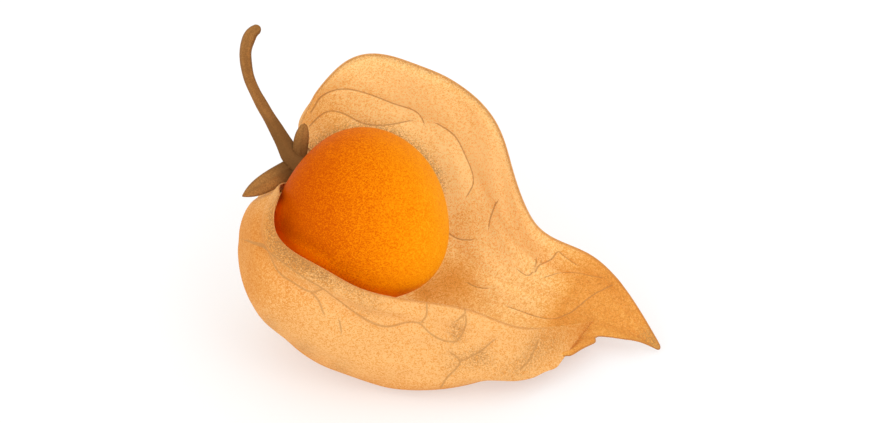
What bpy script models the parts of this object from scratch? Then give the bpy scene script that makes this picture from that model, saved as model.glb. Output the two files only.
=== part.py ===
"""A physalis fruit: a round berry in its open papery husk, with the curved stem and its two sepals.

Blender 4.5. Metres, +Z up. The husk lies on its belly. Its mouth faces forwards (-Y) and up, and its tip
points right (+X). The origin is on the resting plane, under the middle of the fruit's bounding box.
"""

import math

import bmesh
import bpy
import numpy as np
from mathutils import Matrix, Vector

MM = 0.001

# Where the fruit lies, in millimetres and degrees
COLLAR = (-17.01, 1.835, 20.6)  # where stem, husk and berry meet
MOUTH_TILT = 35.0  # how far the mouth of the husk faces up
AXIS_SLOPE = 26.6  # how far the husk's long axis runs down to the right

# The berry, in millimetres
BERRY_CENTRE = (6.9, -5.55, 4.2)  # right, up and forward of the collar, in the plane that the mouth faces
BERRY_RADIUS = 9.7
BERRY_STEM_DRAW = 1.7  # how far the stem end is drawn in
BERRY_STEM_SPREAD = 38.0
BERRY_TIP_REACH = 1.7  # how far the blossom end stands out
BERRY_TIP_SPREAD = 34.0
BERRY_ROWS = 20
BERRY_TURNS = 36

# The husk, in millimetres
HUSK_WALL = 0.8
VEIN_HEIGHT = 0.35
CUFF_GROOVE = 0.5
CUFF_SWELL = 0.45
POCKET_SWELL = 0.9
CRUMPLE = 0.3

# The stem and its sepals, in millimetres
STEM_RADIUS = 0.72
SEPAL_THICKNESS = 0.7
SEPAL_TIP = 0.3  # half the width that is left at the tip
SEPAL_CURL = 0.2  # how far the sides turn down, as a share of half the width

# Base colour and roughness
HUSK_LOOK = ((0.83, 0.47, 0.17), 0.75)
BERRY_LOOK = ((0.93, 0.25, 0.01), 0.35)
STEM_LOOK = ((0.20, 0.09, 0.03), 0.8)

# The husk's ribs run from a ring around the stem's neck to the tip. Each point is (along the axis, towards
# the crown, towards the mouth) from the collar. The first rib is the back wall's rim, the last the front lip.
RING_RADIUS = 1.85
RING_ANGLES = (5, 33, 61, 89, 113, 134, 154)  # degrees around the neck, from the crown round the back
STATIONS = (0.0, 0.09, 0.2, 0.32, 0.46, 0.6, 0.73, 0.86, 1.0)
RIB_PLACES = (0.0, 0.14, 0.31, 0.5, 0.68, 0.86, 1.0)
HUSK_RIBS = {
    "crown": ((-2.4, 5.0, -3.6), (-0.5, 12.5, -6.9), (6.2, 16.5, -8.2), (13.6, 16.6, -8.6),
              (20.4, 13.0, -8.4), (27.2, 6.4, -7.2), (36.0, 5.2, -5.6), (46.0, 0.5, -4.4)),
    "shoulder": ((-2.5, 4.0, -6.0), (-0.2, 8.6, -11.0), (6.5, 10.4, -13.6), (13.5, 10.2, -13.8),
                 (20.5, 7.0, -12.4), (27.5, 2.6, -9.6), (36.0, 2.6, -7.0), (46.2, 0.0, -4.6)),
    "spine": ((-1.7, 0.2, -7.0), (-0.3, -0.5, -13.2), (6.5, -0.6, -15.8), (13.5, -1.2, -15.6),
              (20.5, -2.2, -13.6), (27.5, -2.6, -9.8), (36.0, -0.6, -6.8), (45.7, -0.6, -4.6)),
    "hip": ((-2.8, -4.6, -6.0), (0.0, -10.5, -11.6), (6.5, -12.4, -13.0), (13.5, -12.4, -11.6),
            (20.5, -11.4, -8.8), (27.5, -8.6, -6.2), (35.4, -3.6, -4.6), (43.0, -0.9, -3.7)),
    "keel": ((-3.0, -6.6, -2.5), (0.4, -15.2, -4.4), (6.5, -18.1, -4.0), (13.5, -18.9, -2.2),
             (20.5, -17.6, 0.4), (27.3, -13.9, 1.4), (33.6, -8.2, -0.4), (38.9, -3.8, -1.4)),
    "flank": ((-3.1, -7.0, 1.6), (0.6, -14.3, 6.2), (6.5, -16.2, 8.6), (13.5, -15.8, 8.8),
              (20.5, -13.9, 7.8), (27.0, -11.6, 6.2), (32.2, -10.2, 4.2), (35.8, -8.0, 2.4)),
    "lip": ((-0.9, -5.7, 8.0), (0.8, -8.1, 10.6), (6.0, -9.15, 13.0), (12.0, -9.35, 12.6),
            (18.4, -7.9, 10.0), (25.0, -6.0, 7.4), (31.0, -5.3, 5.4), (36.2, -5.1, 3.2)),
}
# Places on the husk are shares of the way along it, then of the way across it from crown rim to lip rim
VEINS = (0.14, 0.28, 0.42, 0.56, 0.70, 0.82)
VEIN_SPREAD = 0.03
CUFF_PLACE = 0.945
CUFF_MIDDLE = 0.42
CUFF_REACH = 0.5
POCKET_PLACE = (0.63, 0.94)
POCKET_SIZE = (0.055, 0.06)
WALL_TURNS = (0.5, 0.7)  # folds end here: the back wall's and the front's
WALL_FADE = 0.06
# Folds in the wall, seen from the mouth: points right and up of the collar, in millimetres
FOLD_WIDTH = 1.5
FOLD_DEPTH = 0.45
BACK_FOLDS = (
    ((2.1, 7.8), (3.4, 8.6), (5.1, 8.9), (8.9, 7.9), (13.7, 5.7), (17.7, 3.4), (18.9, 1.1), (19.9, -2.3)),
    ((0.9, 4.6), (2.9, 6.3), (5.1, 5.9), (6.9, 4.9), (9.7, 4.6), (12.6, 5.1)),
    ((23.9, -16.3), (27.0, -17.3), (29.4, -17.6), (31.3, -16.7), (33.4, -15.0), (35.7, -13.7)),
)
FRONT_FOLDS = (
    ((17.2, -24.0), (18.3, -22.5), (17.4, -21.6)),
    ((18.3, -22.5), (20.6, -21.4), (22.3, -20.1)),
    ((25.4, -23.4), (26.3, -22.5), (27.4, -20.3)),
    ((-6.4, -8.6), (-3.9, -9.7), (-2.2, -12.9), (0.3, -14.5), (2.6, -14.3)),
)
# Slits between the lobes at the lower end: place across the husk, half width, depth as shares
SLITS = ((0.56, 0.08, 0.055), (0.772, 0.05, 0.1))
ALONG_STEPS = 44
STEPS_BETWEEN = (5, 5, 5, 5, 5, 5, 6, 5)  # mesh columns from the crown's rim to each vein and the lip's rim

# The stem's centre line: (right, up, forward) of the collar, in the plane that the mouth faces
STEM_LINE = ((0.95, -0.76, 0.58), (0.0, 0.0, 0.0), (-0.9, 0.9, -0.3), (-1.5, 1.7, -0.5),
             (-2.6, 3.8, -0.5), (-3.95, 6.45, 0.1), (-5.15, 9.0, 1.4), (-5.85, 10.8, 2.7),
             (-6.05, 12.6, 4.0), (-5.75, 14.2, 5.2), (-5.3, 15.05, 5.9), (-4.8, 15.5, 6.2))
STEM_SWELL = (1.6, 1.65, 1.6, 1.45, 1.15, 1.0, 0.95, 0.95, 0.95, 1.0, 1.05, 1.0)
# Root, tip and the bow of the middle are (right, up, forward) too
SEPALS = {
    "left": {"root": (-0.4, 0.1, -0.2), "tip": (-6.4, -3.25, 0.5), "bow": (0.0, 0.15, 0.6), "half": 1.0},
    "upper": {"root": (-0.6, 0.6, 0.1), "tip": (0.65, 4.7, 0.6), "bow": (0.05, -0.1, 0.3), "half": 0.85},
}


def face_frame():
    """Right, up and forward of the plane that the mouth of the husk faces."""
    tilt = math.radians(MOUTH_TILT)
    right = Vector((1, 0, 0))
    up = Vector((0, math.sin(tilt), math.cos(tilt)))
    forward = Vector((0, -math.cos(tilt), math.sin(tilt)))
    return np.array((right, up, forward))


def husk_frame():
    """Along the husk's long axis, towards its crown and towards its mouth."""
    right, up, forward = face_frame()
    slope = math.radians(AXIS_SLOPE)
    along = right * math.cos(slope) - up * math.sin(slope)
    crown = right * math.sin(slope) + up * math.cos(slope)
    return np.array((along, crown, forward))


def in_face(point):
    """A point given right, up and forward of the collar, in millimetres of the object's own frame."""
    return np.array(COLLAR) + np.array(point) @ face_frame()


def natural_spline(knots, values, at):
    """Natural cubic spline through values[i] at knots[i], read at each place of at. Values may be arrays."""
    knots, values, at = (np.asarray(item, float) for item in (knots, values, at))
    count = len(knots)
    step = np.diff(knots)
    shape = (-1,) + (1,) * (values.ndim - 1)
    slope = np.diff(values, axis=0) / step.reshape(shape)
    system = np.eye(count)
    right_side = np.zeros_like(values)
    for i in range(1, count - 1):
        system[i, i - 1 : i + 2] = step[i - 1], 2 * (step[i - 1] + step[i]), step[i]
        right_side[i] = 6 * (slope[i] - slope[i - 1])
    bend = np.linalg.solve(system, right_side.reshape(count, -1)).reshape(values.shape)
    cell = np.clip(np.searchsorted(knots, at, side="right") - 1, 0, count - 2)
    low, width = knots[cell], step[cell]
    share = ((at - low) / width).reshape(shape)
    width = width.reshape(shape)
    rest = 1 - share
    ends = values[cell] * rest + values[cell + 1] * share
    curve = (rest**3 - rest) * bend[cell] + (share**3 - share) * bend[cell + 1]
    return ends + curve * width**2 / 6


def hump(distance, width):
    """A smooth hump, 1 at distance 0 and 0 from width on."""
    near = np.clip(1 - np.abs(distance) / width, 0, 1)
    return near * near * (3 - 2 * near)


def columns():
    """Mesh lines across the husk: each vein and the cuff's groove falls on one."""
    marks = (0.0, *VEINS, CUFF_PLACE, 1.0)
    places = [0.0]
    for low, high, steps in zip(marks, marks[1:], STEPS_BETWEEN):
        places += [low + (high - low) * (i + 1) / steps for i in range(steps)]
    return np.array(places)


def husk_relief(u, v):
    """How far the husk's wall stands out, in millimetres: veins, the lip's cuff, a pocket and crumples."""
    fade = np.sin(np.pi * np.clip(u, 0, 1)) ** 0.5
    veins = VEIN_HEIGHT * sum(hump(v - place, VEIN_SPREAD) for place in VEINS)
    swell = CUFF_SWELL * hump(v - CUFF_PLACE - VEIN_SPREAD, VEIN_SPREAD)
    groove = CUFF_GROOVE * hump(v - CUFF_PLACE, VEIN_SPREAD)
    cuff = (swell - groove) * hump(u - CUFF_MIDDLE, CUFF_REACH) ** 0.5
    pocket_u, pocket_v = POCKET_PLACE
    from_pocket = np.hypot((u - pocket_u) / POCKET_SIZE[0], (v - pocket_v) / POCKET_SIZE[1])
    coarse = np.sin(21 * u + 9 * v) * np.sin(17 * v - 6 * u)
    fine = 0.6 * np.sin(34 * u - 19 * v + 1.3) * np.sin(27 * v + 2.1)
    return (veins + CRUMPLE * (coarse + fine)) * fade + cuff + POCKET_SWELL * hump(from_pocket, 1)


def line_distance(points, line):
    """How far each flat point is from a line of straight pieces."""
    nearest = np.full(points.shape[:-1], np.inf)
    for start, end in zip(line, line[1:]):
        run = np.subtract(end, start)
        share = np.clip((points - start) @ run / (run @ run), 0, 1)
        nearest = np.minimum(nearest, np.linalg.norm(points - start - share[..., None] * run, axis=-1))
    return nearest


def fold_height(points, v):
    """Folds sink away from the viewer: outwards in the back wall, inwards in the front."""
    seen = (points - np.array(COLLAR)) @ face_frame()[:2].T
    back = sum(hump(line_distance(seen, line), FOLD_WIDTH) for line in BACK_FOLDS)
    front = sum(hump(line_distance(seen, line), FOLD_WIDTH) for line in FRONT_FOLDS)
    on_back = np.clip((WALL_TURNS[0] - v) / WALL_FADE, 0, 1)
    on_front = np.clip((v - WALL_TURNS[1]) / WALL_FADE, 0, 1)
    return FOLD_DEPTH * (back * on_back - front * on_front)


def husk_sheet(u, v):
    """The outside of the husk as a grid of points: a surface through the ribs, raised by its relief."""
    stations = np.concatenate((neck_ring()[None], np.array(list(HUSK_RIBS.values())).transpose(1, 0, 2)))
    trimmed = u[:, None] * (1 - sum(depth * hump(v - place, half) for place, half, depth in SLITS))[None, :]
    across = natural_spline(RIB_PLACES, stations.transpose(1, 0, 2), v)
    lines = [natural_spline(STATIONS, rib, trimmed[:, i]) for i, rib in enumerate(across)]
    points = np.array(COLLAR) + np.stack(lines, axis=1) @ husk_frame()
    outward = np.cross(np.gradient(points, u, axis=0), np.gradient(points, v, axis=1))
    outward /= np.linalg.norm(outward, axis=2, keepdims=True)
    height = husk_relief(u[:, None], v[None, :]) + fold_height(points, v[None, :])
    points += outward * height[..., None]
    points[..., 2] = np.maximum(points[..., 2], 0)  # it rests on the flat spot that this makes
    return points


def neck_ring():
    """Where each rib starts: on a ring around the neck, in the husk's own frame."""
    neck = husk_frame() @ np.array(berry_place()[1])
    up = np.array((0, 1, 0)) - neck * neck[1]
    up /= np.linalg.norm(up)
    back = np.cross(neck, up)
    turn = np.radians(RING_ANGLES)[:, None]
    return RING_RADIUS * (np.cos(turn) * up + np.sin(turn) * back)


def new_object(name, mesh, collection):
    obj = bpy.data.objects.new(name, mesh)
    collection.objects.link(obj)
    return obj


def grid_mesh(name, points):
    """A mesh of quads on a grid of points in millimetres."""
    rows, cols = points.shape[:2]
    index = np.arange(rows * cols).reshape(rows, cols)
    faces = np.stack((index[:-1, :-1], index[1:, :-1], index[1:, 1:], index[:-1, 1:]), axis=-1).reshape(-1, 4)
    mesh = bpy.data.meshes.new(name)
    mesh.from_pydata((points.reshape(-1, 3) * MM).tolist(), [], faces.tolist())
    mesh.update()
    return mesh


def add_wall(obj, thickness, offset):
    wall = obj.modifiers.new("wall", "SOLIDIFY")
    wall.thickness = thickness * MM
    wall.offset = offset
    wall.use_rim = True


def material(name, look):
    colour, roughness = look
    made = bpy.data.materials.new(name)
    made.use_nodes = True
    shader = made.node_tree.nodes["Principled BSDF"]
    shader.inputs["Base Color"].default_value = (*colour, 1)
    shader.inputs["Roughness"].default_value = roughness
    shader.inputs["Metallic"].default_value = 0.0
    return made


def make_husk(parts):
    u = np.linspace(0, 1, ALONG_STEPS + 1)
    husk = new_object("husk", grid_mesh("husk", husk_sheet(u, columns())), parts)
    add_wall(husk, HUSK_WALL, -1)
    husk.data.materials.append(material("husk_paper", HUSK_LOOK))
    husk.data.shade_smooth()


def berry_radius(angle):
    """The berry's radius at an angle from its stem end, in degrees."""
    drawn = BERRY_STEM_DRAW * math.exp(-((angle / BERRY_STEM_SPREAD) ** 2))
    reach = BERRY_TIP_REACH * math.exp(-(((180 - angle) / BERRY_TIP_SPREAD) ** 2))
    return BERRY_RADIUS - drawn + reach


def berry_place():
    """The berry's centre, and the direction from it to the collar."""
    centre = Vector(in_face(BERRY_CENTRE))
    return centre, (Vector(COLLAR) - centre).normalized()


def make_berry(parts):
    """A turned shape: the profile runs down its outer side, from the stem end to the blossom end."""
    mesh = bpy.data.meshes.new("berry")
    outline = bmesh.new()
    angles = [180 * i / BERRY_ROWS for i in range(BERRY_ROWS + 1)]
    dots = []
    for angle in angles:
        radius, turn = berry_radius(angle) * MM, math.radians(angle)
        dots.append(outline.verts.new((radius * math.sin(turn), 0, radius * math.cos(turn))))
    dots[0].co.x = dots[-1].co.x = 0
    for first, second in zip(dots, dots[1:]):
        outline.edges.new((first, second))
    outline.to_mesh(mesh)
    outline.free()
    berry = new_object("berry", mesh, parts)
    turned = berry.modifiers.new("turned", "SCREW")
    turned.axis = "Z"
    turned.steps = turned.render_steps = BERRY_TURNS
    turned.use_merge_vertices = True
    turned.merge_threshold = 0.00001
    centre, towards_stem = berry_place()
    turn = towards_stem.to_track_quat("Z", "Y").to_matrix().to_4x4()
    berry.matrix_world = Matrix.Translation(centre * MM) @ turn
    berry.data.materials.append(material("berry_skin", BERRY_LOOK))


def stem_tube(pieces):
    """The stem as a round tube along a smooth curve, then as a closed mesh."""
    curve = bpy.data.curves.new("stem_line", "CURVE")
    curve.dimensions = "3D"
    curve.bevel_depth = STEM_RADIUS * MM
    curve.bevel_resolution = 3
    curve.use_fill_caps = True
    knots = np.linspace(0, 1, len(STEM_LINE))
    at = np.linspace(0, 1, 3 * len(STEM_LINE))
    line = natural_spline(knots, [in_face(p) for p in STEM_LINE], at)
    swell = natural_spline(knots, [(s,) for s in STEM_SWELL], at)[:, 0]
    spline = curve.splines.new("POLY")
    spline.points.add(len(at) - 1)
    for point, place, size in zip(spline.points, line, swell):
        point.co = (*(place * MM), 1)
        point.radius = size
    guide = new_object("stem_guide", curve, pieces)
    evaluated = guide.evaluated_get(bpy.context.evaluated_depsgraph_get())
    mesh = bpy.data.meshes.new_from_object(evaluated)
    bpy.data.objects.remove(guide)
    welded = bmesh.new()
    welded.from_mesh(mesh)
    bmesh.ops.remove_doubles(welded, verts=welded.verts, dist=0.00001)
    bmesh.ops.recalc_face_normals(welded, faces=welded.faces)
    welded.to_mesh(mesh)
    welded.free()
    return mesh


def sepal_mesh(name, sepal, across_steps=4, along_steps=8):
    """A pointed leaf: a blade along an arched midrib, widest in its first half, its sides turned down."""
    root, tip, bow = (np.array(sepal[key]) for key in ("root", "tip", "bow"))
    share = np.linspace(0, 1, along_steps + 1)[:, None]
    side = np.linspace(-1, 1, across_steps + 1)[None, :]
    rib = root + (tip - root) * share[..., None] + bow * (4 * share * (1 - share))[..., None]
    length = (tip - root) / np.linalg.norm(tip - root)
    facing = np.array((0.0, 0.0, 1.0))
    across = np.cross(facing, length)
    half = sepal["half"] * (1 - share**2) * (0.8 + 0.75 * share) + SEPAL_TIP * share
    points = rib + across * (half * side)[..., None] - facing * (SEPAL_CURL * half * side**2)[..., None]
    return grid_mesh(name, np.array(COLLAR) + points @ face_frame())


def make_stem(parts, pieces):
    """The stem and its sepals, joined in one body."""
    stem = new_object("stem", stem_tube(pieces), parts)
    for name, sepal in SEPALS.items():
        blade = new_object(f"sepal_{name}", sepal_mesh(name, sepal), pieces)
        add_wall(blade, SEPAL_THICKNESS, 0)
    joined = stem.modifiers.new("joined", "BOOLEAN")
    joined.operation = "UNION"
    joined.operand_type = "COLLECTION"
    joined.collection = pieces
    joined.solver = "EXACT"
    bpy.context.view_layer.update()
    whole = bpy.data.meshes.new_from_object(stem.evaluated_get(bpy.context.evaluated_depsgraph_get()))
    stem.modifiers.clear()
    stem.data = whole
    stem.data.name = "stem"
    for piece in list(pieces.objects):
        bpy.data.objects.remove(piece)
    stem.data.materials.clear()
    stem.data.materials.append(material("stem_bark", STEM_LOOK))


def main():
    for obj in list(bpy.data.objects):
        bpy.data.objects.remove(obj)
    parts = bpy.data.collections.new("physalis")
    pieces = bpy.data.collections.new("stem_pieces")
    for collection in (parts, pieces):
        bpy.context.scene.collection.children.link(collection)
    make_husk(parts)
    make_berry(parts)
    make_stem(parts, pieces)


main()
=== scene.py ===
import math

import bpy
import numpy as np
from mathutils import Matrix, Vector


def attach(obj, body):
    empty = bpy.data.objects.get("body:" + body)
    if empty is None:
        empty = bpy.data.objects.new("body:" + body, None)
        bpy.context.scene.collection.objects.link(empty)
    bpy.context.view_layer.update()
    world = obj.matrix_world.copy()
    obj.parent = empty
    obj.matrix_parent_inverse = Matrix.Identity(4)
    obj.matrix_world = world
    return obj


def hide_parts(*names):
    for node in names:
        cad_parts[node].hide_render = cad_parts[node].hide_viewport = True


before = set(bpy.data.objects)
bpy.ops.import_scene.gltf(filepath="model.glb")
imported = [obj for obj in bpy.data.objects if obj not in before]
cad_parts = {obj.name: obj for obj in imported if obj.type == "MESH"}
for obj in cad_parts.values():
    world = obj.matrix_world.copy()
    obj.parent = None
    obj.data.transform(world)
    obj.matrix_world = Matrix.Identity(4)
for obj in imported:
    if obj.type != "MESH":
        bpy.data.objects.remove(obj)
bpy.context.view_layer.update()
print("frame loaded:", sorted(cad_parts))

millimetre = 0.001
white = (1.0, 1.0, 1.0, 1.0)

# Where the fruit lies, in millimetres and degrees, as in the solids
fruit = dict(
    collar=(-17.01, 1.835, 20.6),  # where stem, husk and berry meet
    mouthTilt=35.0,  # how far the mouth of the husk faces up
    axisSlope=26.6,  # how far the long axis runs down to the right
)


# Placing and curves

# Rows: right, up and forward of the plane that the mouth faces
def faceAxes():
    tilt = math.radians(fruit["mouthTilt"])
    return np.array(((1, 0, 0), (0, math.sin(tilt), math.cos(tilt)), (0, -math.cos(tilt), math.sin(tilt))))


# Rows: along the husk, towards its crown, towards its mouth. The face axes, turned by the slope
def huskAxes():
    right, up, forward = faceAxes()
    slope = math.radians(fruit["axisSlope"])
    along = right * math.cos(slope) - up * math.sin(slope)
    crown = right * math.sin(slope) + up * math.cos(slope)
    return np.array((along, crown, forward))


# Points right, up and forward of the collar, as places in the scene: the collar plus so much of each axis
def fromFace(points):
    return np.array(fruit["collar"]) + np.asarray(points, float) @ faceAxes()


# Natural cubic spline through values[i] at knots[i]. Where at is a grid, each of its columns reads the same
# column of the values
def splineThrough(knots, values, at):
    knots, values, at = (np.asarray(item, float) for item in (knots, values, at))
    count, step = len(knots), np.diff(knots)
    slope = np.diff(values, axis=0) / step.reshape((-1,) + (1,) * (values.ndim - 1))
    system, rightSide = np.eye(count), np.zeros_like(values)
    inner = np.arange(1, count - 1)
    system[inner, inner - 1], system[inner, inner + 1] = step[:-1], step[1:]
    system[inner, inner] = 2 * (step[:-1] + step[1:])
    rightSide[1:-1] = 6 * np.diff(slope, axis=0)
    bend = np.linalg.solve(system, rightSide.reshape(count, -1)).reshape(values.shape)
    cell = np.clip(np.searchsorted(knots, at, side="right") - 1, 0, count - 2)
    columns = (np.arange(at.shape[1]),) if at.ndim == 2 else ()
    first, second = (cell, *columns), (cell + 1, *columns)
    spare = (1,) * (values[first].ndim - at.ndim)
    width = step[cell].reshape(at.shape + spare)
    share = ((at - knots[cell]) / step[cell]).reshape(at.shape + spare)
    rest = 1 - share
    curve = (rest**3 - rest) * bend[first] + (share**3 - share) * bend[second]
    return values[first] * rest + values[second] * share + curve * width**2 / 6


# A smooth hump: 1 at distance 0 and 0 from width on, as 3n^2 - 2n^3 of the nearness n
def hump(distance, width):
    near = np.clip(1 - np.abs(distance) / width, 0, 1)
    return near * near * (3 - 2 * near)


# A bell curve: e to minus the square of the distance, counted in reaches
def bell(distance, reach):
    return np.exp(-((distance / reach) ** 2))


# A smooth step: 0 below low and 1 above high, as 3s^2 - 2s^3 of the share s of the way. Where high is the
# smaller, it falls
def rise(value, low, high):
    share = np.clip((value - low) / (high - low), 0, 1)
    return share * share * (3 - 2 * share)


# More points along a line, on a spline through its own
def rounded(line, pointsPerPiece=5):
    line = np.array(line, float)
    run = np.append(0, np.linalg.norm(np.diff(line, axis=0), axis=1).cumsum())
    return splineThrough(run, line, np.linspace(0, run[-1], pointsPerPiece * (len(line) - 1) + 1))


# How far flat points are from the nearest of some lines, by the nearest place on each straight piece of
# them: less than 0 on the right-hand side of the line
def lineOffset(points, lines):
    offset = np.full(points.shape[:-1], np.inf)
    for line in map(rounded, lines):
        for start, run in zip(line, np.diff(line, axis=0)):
            share = np.clip((points - start) @ run / (run @ run), 0, 1)
            rest = points - start - share[..., None] * run
            side = np.where(run[0] * rest[..., 1] < run[1] * rest[..., 0], -1, 1)
            far = np.linalg.norm(rest, axis=-1)
            offset = np.where(far < np.abs(offset), side * far, offset)
    return offset


# The middle of the picture in the plane through the collar: right and up of it, in millimetres
def pictureMiddle():
    right, down = (np.array(view["frame"]) / 2 - view["collarPixel"]) / view["pixelsPerMillimetre"]
    return np.array((right, -down))


# Points as the camera sees them, in the plane through the collar: right and up of it. The distance from the
# picture's middle grows as the point comes nearer, by distance / (distance - nearness)
def asSeen(points):
    flat = (points - np.array(fruit["collar"])) @ faceAxes().T
    middle, distance = pictureMiddle(), view["distance"] / millimetre
    return middle + (flat[..., :2] - middle) * distance / (distance - flat[..., 2:])


# Unit normals of a grid of points, from the cross product of its two directions
def gridNormals(points):
    across = np.cross(np.gradient(points, axis=0), np.gradient(points, axis=1))
    return across / np.maximum(np.linalg.norm(across, axis=2, keepdims=True), 1e-12)


# Meshes

# An object from points in millimetres and faces, with a number at each point for each of the values
def makeMesh(name, points, faces, values):
    mesh = bpy.data.meshes.new(name)
    mesh.from_pydata((points * millimetre).tolist(), [], faces)
    for key, numbers in values.items():
        mesh.attributes.new(key, "FLOAT", "POINT").data.foreach_set("value", numbers.astype(np.float32))
    mesh.shade_smooth()
    piece = bpy.data.objects.new(name, mesh)
    bpy.context.scene.collection.objects.link(piece)
    return piece


# Quads between the rows of a grid whose columns close on themselves
def ringQuads(rows, columns):
    index = np.arange(rows * columns).reshape(rows, columns)
    after = np.roll(index, -1, axis=1)
    return np.stack((index[:-1], index[1:], after[1:], after[:-1]), axis=-1).reshape(-1, 4).tolist()


# A closed body on a grid of rings, with a fan of triangles to one point at each end
def ringBody(name, rings, firstTip, lastTip, values):
    rows, columns = rings.shape[:2]
    points = np.concatenate((rings.reshape(-1, 3), [firstTip, lastTip]))
    tips = rows * columns, rows * columns + 1
    first, last = np.arange(columns), np.arange(columns) + (rows - 1) * columns
    faces = ringQuads(rows, columns)
    faces += np.stack((first, np.roll(first, -1), np.full(columns, tips[0])), axis=1).tolist()
    faces += np.stack((np.roll(last, -1), last, np.full(columns, tips[1])), axis=1).tolist()
    ends = {key: (grid[0].mean(), grid[-1].mean()) for key, grid in values.items()}
    flat = {key: np.concatenate((grid.reshape(-1), ends[key])) for key, grid in values.items()}
    return makeMesh(name, points, faces, flat)


# Shader maths

class Wire:
    # One output socket of a node tree. Sums, differences and products of wires add Math nodes
    def __init__(self, tree, socket):
        self.tree, self.socket = tree, socket

    # Any node: its type, its settings, which are set first, and the values or wires of its sockets
    def node(self, kind, settings, sockets, output=0):
        made = self.tree.nodes.new(kind)
        for key, value in settings.items():
            if key == "stops":
                fillRamp(made.color_ramp, value)
            else:
                setattr(made, key, value)
        for key, value in sockets.items():
            if isinstance(value, Wire):
                self.tree.links.new(value.socket, made.inputs[key])
            else:
                made.inputs[key].default_value = value
        return Wire(self.tree, made.outputs[output])

    def maths(self, operation, *values, clamp=False):
        settings = dict(operation=operation, use_clamp=clamp)
        return self.node("ShaderNodeMath", settings, dict(enumerate(values)))

    def __add__(self, other):
        return self.maths("ADD", self, other)

    def __sub__(self, other):
        return self.maths("SUBTRACT", self, other)

    def __rsub__(self, other):
        return self.maths("SUBTRACT", other, self)

    def __mul__(self, other):
        return self.maths("MULTIPLY", self, other)

    def __abs__(self):
        return self.maths("ABSOLUTE", self)

    __radd__, __rmul__ = __add__, __mul__

    # This value, kept between 0 and 1
    def held(self):
        return self.maths("ADD", self, 0.0, clamp=True)

    # This wire's value as the share of the second colour in the first
    def mix(self, first, second):
        return self.node("ShaderNodeMix", dict(data_type="RGBA"), {0: self, 6: first, 7: second}, output=2)

    # This colour times another
    def mixedBy(self, other):
        settings = dict(data_type="RGBA", blend_type="MULTIPLY")
        return self.node("ShaderNodeMix", settings, {0: 1.0, 6: self, 7: other}, output=2)

    # The colour of a ramp at this wire's value: stops of place and colour
    def ramp(self, stops):
        return self.node("ShaderNodeValToRGB", dict(stops=stops), dict(Fac=self))

    # From 0 to 1 as the value goes from low to high
    def span(self, low, high):
        settings = dict(interpolation_type="SMOOTHSTEP")
        return self.node("ShaderNodeMapRange", settings, {0: self, 1: low, 2: high, 3: 0.0, 4: 1.0})


# Gives a ramp as many stops as are asked for, each with its place and colour
def fillRamp(ramp, stops):
    while len(ramp.elements) < len(stops):
        ramp.elements.new(1.0)
    for element, (position, colour) in zip(ramp.elements, stops):
        element.position, element.color = position, colour


# A screen colour, 0 to 255, as a shader colour: the screen's power curve undone
def paint(red, green, blue):
    screen = np.array((red, green, blue)) / 255
    return (*np.where(screen <= 0.04045, screen / 12.92, ((screen + 0.055) / 1.055) ** 2.4), 1.0)


class Finish:
    # A material in the making: where its patterns start, and the numbers that are the same all over
    def __init__(self, name, **fixed):
        self.material = bpy.data.materials.new(name)
        self.material.use_nodes = True
        self.tree = self.material.node_tree
        self.shader = self.tree.nodes["Principled BSDF"]
        for key, value in fixed.items():
            self.shader.inputs[key.replace("_", " ")].default_value = value
        self.start = Wire(self.tree, None)
        self.place = self.start.node("ShaderNodeTexCoord", {}, {}, output="Object")

    # The piece's own number at each point, by its name
    def value(self, attribute):
        return self.start.node("ShaderNodeAttribute", dict(attribute_name=attribute), {}, output="Fac")

    # One coordinate of the piece's own place, in metres: 0 to the right, 1 back, 2 up
    def along(self, axis):
        return self.start.node("ShaderNodeSeparateXYZ", {}, dict(Vector=self.place), output=axis)

    # Noise whose grains are about size millimetres wide, from 0 to 1
    def noise(self, size, detail=3.0):
        sockets = dict(Vector=self.place, Scale=1 / (size * millimetre), Detail=detail)
        return self.start.node("ShaderNodeTexNoise", {}, sockets, output="Fac")

    # Grain: each cell, about size millimetres wide, has its own number from 0 to 1
    def grain(self, size):
        sockets = dict(Vector=self.place, Scale=1 / (size * millimetre))
        cells = self.start.node("ShaderNodeTexVoronoi", {}, sockets, output="Color")
        return self.start.node("ShaderNodeSeparateColor", {}, dict(Color=cells))

    # Distance from the borders of such cells
    def fromBorders(self, size):
        settings = dict(feature="DISTANCE_TO_EDGE")
        sockets = dict(Vector=self.place, Scale=1 / (size * millimetre))
        return self.start.node("ShaderNodeTexVoronoi", settings, sockets, output="Distance")

    # Connects the shader. Each bump is a height, its size in millimetres and its strength
    def give(self, colour, roughness, bumps):
        wires = {"Base Color": colour, "Roughness": roughness}
        for height, size, strength in bumps:
            sockets = dict(Height=height, Distance=size * millimetre, Strength=strength)
            if "Normal" in wires:
                sockets["Normal"] = wires["Normal"]
            wires["Normal"] = self.start.node("ShaderNodeBump", {}, sockets)
        for key, wire in wires.items():
            self.tree.links.new(wire.socket, self.shader.inputs[key])
        return self.material


# The berry

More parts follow.
